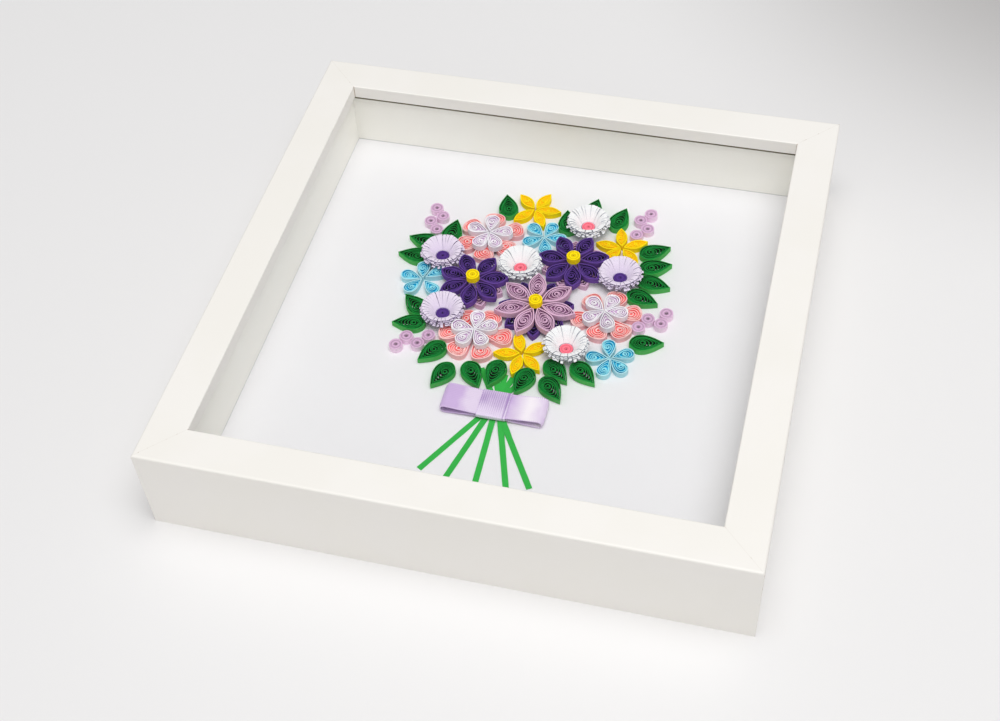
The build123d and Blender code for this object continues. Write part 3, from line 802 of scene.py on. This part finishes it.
def frameFoil(s=foil):
    graph = Graph("frameFoil", Specular_IOR_Level=0.4)
    x, y, _ = graph.node("SeparateXYZ", Vector=graph.place).outputs
    x, y = graph.maths("ABSOLUTE", x), graph.maths("ABSOLUTE", y)
    cloud, chips = graph.noise(s["cloud"]), graph.noise(s["chips"], 2)
    apart = graph.maths("ABSOLUTE", graph.maths("SUBTRACT", x, y))
    seam = graph.between(apart, *(width * mm for width in s["seam"]), 1, 0)
    bite = graph.maths("MULTIPLY_ADD", graph.between(chips, *s["chipFrom"]), *s["bite"])
    wear = graph.maths("MULTIPLY", seam, bite, clamp=True)
    lip = ((s["opening"] + width) * mm for width in s["lip"])
    inner = graph.between(graph.maths("MAXIMUM", x, y), *lip, 1, 0)
    parted = graph.between(apart, *(width * mm for width in s["lipSeam"]), s["parted"], 0)
    wear = graph.maths("MAXIMUM", wear, graph.maths("MULTIPLY", inner, parted))
    paint = graph.mix(graph.between(cloud, 0.35, 0.65), colour(*s["warm"]), colour(*s["pale"]))
    graph.bump(graph.noise(s["grain"], 4), s["depth"], s["strength"])
    return graph.set(Roughness=graph.between(cloud, 0.3, 0.7, *s["roughness"]),
                     Base_Color=graph.mix(wear, paint, colour(*s["chip"])))


# White strips under the glass. By height z: a painted shadow line just under the glass, where its
# edge meets the wall, and a painted shadow line at the card
spacer = {
    "pale": (255, 254, 248), "plain": (254, 252, 244), "cloud": 18, "gap": (100, 92, 64),
    "foot": (150, 150, 154), "gapShadeLow": 35.4, "gapShadeSoft": 0.06, "footHigh": 9.45, "footSoft": 0.2,
    "footShade": 0.6,
}


def spacerFoil(s=spacer):
    graph = Graph("spacerFoil", Roughness=0.35, Specular_IOR_Level=0.4)
    z = graph.node("SeparateXYZ", Vector=graph.place).outputs[2]
    paint = graph.mix(graph.noise(s["cloud"]), colour(*s["plain"]), colour(*s["pale"]))
    # painted shadow line under the glass's edge, then a painted shadow line where the wall meets
    # the card
    low, high = (s["gapShadeLow"] - s["gapShadeSoft"]) * mm, (s["gapShadeLow"] + s["gapShadeSoft"]) * mm
    paint = graph.mix(graph.between(z, low, high), paint, colour(*s["gap"]))
    top, bottom = s["footHigh"] * mm, (s["footHigh"] - s["footSoft"]) * mm
    foot = graph.between(z, top, bottom, 0, s["footShade"])
    return graph.set(Base_Color=graph.mix(foot, paint, colour(*s["foot"])))


# Picture glass: straight through, with a mirror share that grows as facing ** power, like thin
# glass. mirror is what that power is scaled by and what is added to it.
glass = {"through": (0.997, 0.998, 0.998, 1), "power": 5.0, "mirror": (0.6, 0.015)}


def clearGlass(s=glass):
    graph = Graph("clearGlass")
    facing = graph.node("LayerWeight", Blend=0.5).outputs["Facing"]
    share = graph.maths("MULTIPLY_ADD", graph.maths("POWER", facing, s["power"]), *s["mirror"])
    through = graph.node("BsdfTransparent", Color=s["through"]).outputs[0]
    mirror = graph.node("BsdfGlossy", Roughness=0.01).outputs[0]
    made = graph.node("MixShader", i0=share, i1=through, i2=mirror)
    graph.feed(graph.tree.nodes["Material Output"].inputs["Surface"], made.outputs[0])
    return graph.material


card = {
    "cool": (238, 237, 239), "pale": (240, 239, 241), "cloud": 12, "grain": 0.25,
    "depth": 0.015, "strength": 0.4,
}


def whiteCard(s=card):
    graph = Graph("whiteCard", Roughness=0.75, Specular_IOR_Level=0.3)
    graph.bump(graph.noise(s["grain"]), s["depth"], s["strength"])
    paint = graph.mix(graph.noise(s["cloud"]), colour(*s["cool"]), colour(*s["pale"]))
    return graph.set(Base_Color=paint)


board = {
    "dark": (96, 70, 46), "light": (146, 112, 78), "worn": (122, 92, 62), "wornShare": 0.35,
    "fibre": 0.9, "cloud": 25, "depth": 0.08, "strength": 0.6,
}


# Hardboard: pressed brown fibre with darker specks
def hardboard(s=board):
    graph = Graph("hardboard", Roughness=0.6, Specular_IOR_Level=0.35)
    fibre = graph.noise(s["fibre"], 6)
    worn = graph.between(graph.noise(s["cloud"]), 0.3, 0.7, 0, s["wornShare"])
    graph.bump(fibre, s["depth"], s["strength"])
    paint = graph.mix(fibre, colour(*s["dark"]), colour(*s["light"]))
    return graph.set(Base_Color=graph.mix(worn, paint, colour(*s["worn"])))


steel = {
    "dull": (176, 178, 182), "bright": (206, 207, 208), "brushed": 0.3, "cloud": 2.2,
    "roughness": (0.28, 0.5), "depth": 0.015, "strength": 0.4,
}


def zincSteel(s=steel):
    graph = Graph("zincSteel", Metallic=1.0)
    cloud = graph.noise(s["cloud"])
    graph.bump(graph.noise(s["brushed"], 4), s["depth"], s["strength"])
    return graph.set(Roughness=graph.between(cloud, 0.3, 0.7, *s["roughness"]),
                     Base_Color=graph.mix(cloud, colour(*s["dull"]), colour(*s["bright"])))


# Gives solids of the CAD part their material
def dress(material, *names):
    for name in names:
        mesh = nodes[name].data
        mesh.materials.clear()
        mesh.materials.append(material)


sides = ("bottom", "right", "top", "left")
dress(frameFoil(), *["rail_" + side for side in sides])
dress(spacerFoil(), *["spacer_" + side for side in sides])
dress(clearGlass(), "glazing_pane")
dress(whiteCard(), "art_card")
dress(hardboard(), "backing_board")
dress(zincSteel(), "v_nails", "retaining_points", "sawtooth_hanger", "hanger_rivets")
print("frame dressed")


# Floor and light: pale paper with painted shade deepening towards the far right corner, a broad
# sky that is dimmer at the back, and one large soft lamp overhead, a little to the front and right
studio = {
    "floorPale": (234, 233, 233), "floorShade": (179, 177, 176), "floorSize": 4.0,
    "corner": (0.3, 0.42, 0), "cornerShadeFade": (0.1, 0.36),
    "sky": 0.572, "dimBehind": 0.68, "dimFrom": (0.1, 0.6),
    "lamp": (0.3, -0.3, 2.0), "lampSize": 1.4, "lampPower": 27.6,
}


def addFloor(s=studio):
    half = s["floorSize"] / 2
    corners = [(-half, -half, 0), (half, -half, 0), (half, half, 0), (-half, half, 0)]
    mesh = bpy.data.meshes.new("floor")
    mesh.from_pydata(corners, [], [(0, 1, 2, 3)])
    graph = Graph("floorPaper", Roughness=0.7, Specular_IOR_Level=0.2)
    apart = graph.node("VectorMath", {"operation": "DISTANCE"}, i0=graph.place, i1=s["corner"])
    # painted shade that deepens towards the far right corner
    cornerShade = graph.between(apart.outputs["Value"], *s["cornerShadeFade"], 1, 0)
    paint = graph.mix(cornerShade, colour(*s["floorPale"]), colour(*s["floorShade"]))
    mesh.materials.append(graph.set(Base_Color=paint))
    floor = bpy.data.objects.new("floor", mesh)
    bpy.context.collection.objects.link(floor)


def addSky(s=studio):
    world = bpy.data.worlds.new("studio")
    bpy.context.scene.world = world
    world.use_nodes = True
    tree = world.node_tree
    back = tree.nodes["Background"]
    direction = tree.nodes.new("ShaderNodeSeparateXYZ")
    place = tree.nodes.new("ShaderNodeTexCoord").outputs["Generated"]
    tree.links.new(place, direction.inputs[0])
    strength = tree.nodes.new("ShaderNodeMapRange")
    strength.interpolation_type = "SMOOTHSTEP"
    tree.links.new(direction.outputs["Y"], strength.inputs["Value"])
    levels = (*s["dimFrom"], s["sky"], s["sky"] * (1 - s["dimBehind"]))
    for socket, value in zip(("From Min", "From Max", "To Min", "To Max"), levels):
        strength.inputs[socket].default_value = value
    tree.links.new(strength.outputs["Result"], back.inputs["Strength"])
    back.inputs["Color"].default_value = (1, 1, 1, 1)


def addLamp(s=studio):
    light = bpy.data.lights.new("softbox", "AREA")
    light.shape, light.size, light.energy = "SQUARE", s["lampSize"], s["lampPower"]
    lamp = bpy.data.objects.new("softbox", light)
    lamp.location = s["lamp"]
    lamp.rotation_euler = (-Vector(s["lamp"])).to_track_quat("-Z", "Y").to_euler()
    bpy.context.collection.objects.link(lamp)


addFloor()
addSky()
addLamp()
bpy.context.scene.view_settings.view_transform = "Standard"
print("studio made")
